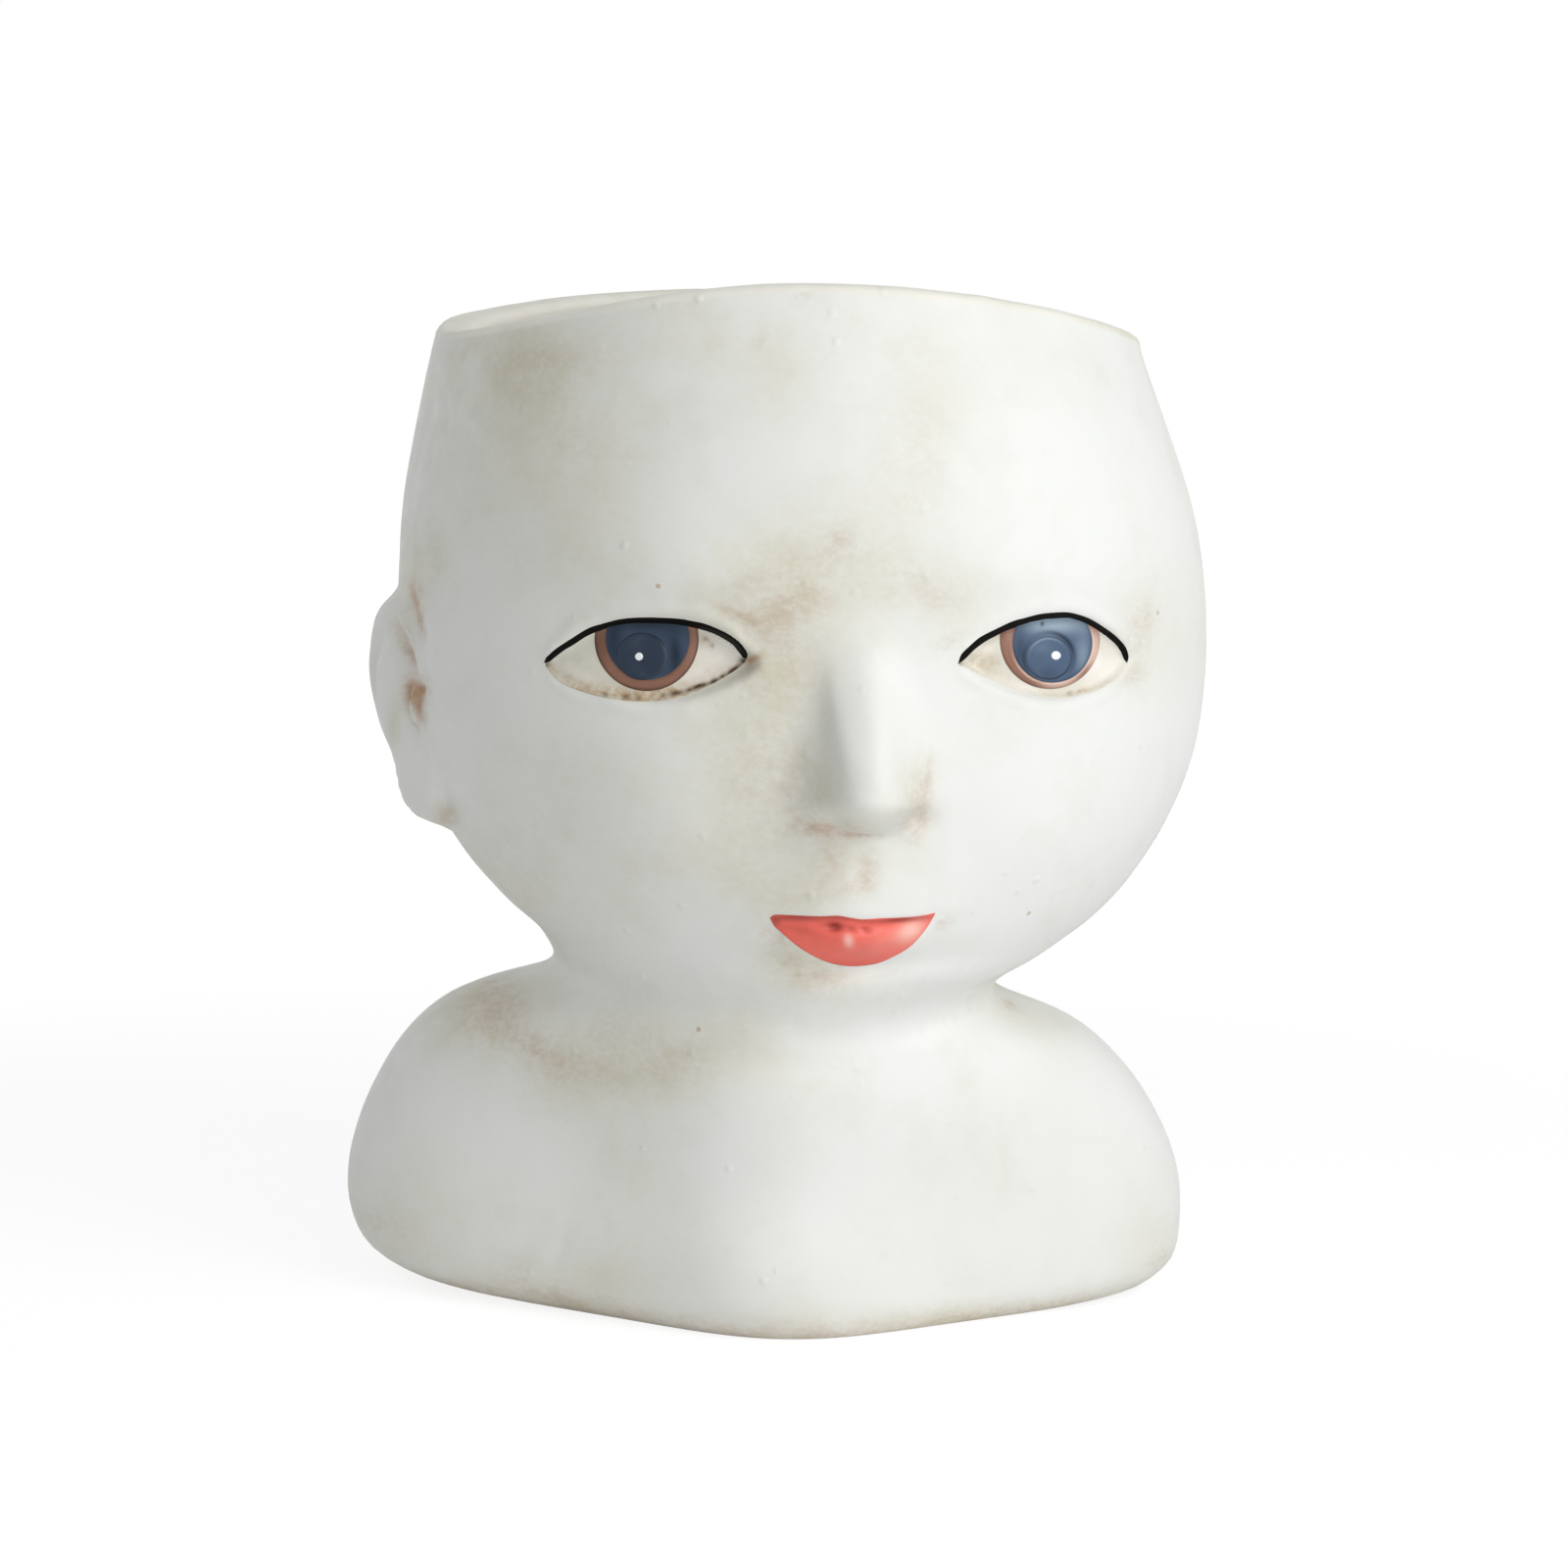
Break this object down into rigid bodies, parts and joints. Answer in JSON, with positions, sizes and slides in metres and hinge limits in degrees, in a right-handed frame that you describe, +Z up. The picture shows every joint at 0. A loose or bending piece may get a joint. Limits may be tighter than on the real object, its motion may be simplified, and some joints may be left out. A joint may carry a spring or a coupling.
{
  "type": "head planter",
  "caption": "Hollow plant pot cast as a doll's bald head on small shoulders, with painted eyes and lips, an arched open rim and a drain hole with a lift-out plug.",
  "frame": {"origin": "on the surface that the planter stands on, under the middle of its box seen from above", "axes": "+Z up, the shoulders face -Y, the face is turned a few degrees towards +X"},
  "size_m": [0.2072, 0.2044, 0.24],
  "materials": {
    "whitewashed_casting": "matte whitewash over cast stone, antiqued brown in the creases",
    "eye_white_paint": "satin paint",
    "brown_ring_paint": "satin paint",
    "blue_iris_paint": "gloss paint",
    "dark_blue_pupil_paint": "gloss paint",
    "white_dot_paint": "gloss paint",
    "black_lash_paint": "matte paint",
    "coral_lip_paint": "satin paint",
    "plug_rubber": "matte"
  },
  "bodies": {
    "planter": {"head_casting": "whitewashed_casting", "lips": "coral_lip_paint", "eyeball_right": "eye_white_paint", "iris_ring_right": "brown_ring_paint", "iris_right": "blue_iris_paint", "pupil_right": "dark_blue_pupil_paint", "eye_highlight_right": "white_dot_paint", "lash_line_right": "black_lash_paint", "eyeball_left": "eye_white_paint", "iris_ring_left": "brown_ring_paint", "iris_left": "blue_iris_paint", "pupil_left": "dark_blue_pupil_paint", "eye_highlight_left": "white_dot_paint", "lash_line_left": "black_lash_paint"},
    "plug": {"drain_plug": "plug_rubber"}
  },
  "joints": [
    {"name": "plug_lift", "type": "slide", "parent": "planter", "child": "plug", "axis": [0, 0, 1], "range_m": [0, 0.215]}
  ]
}
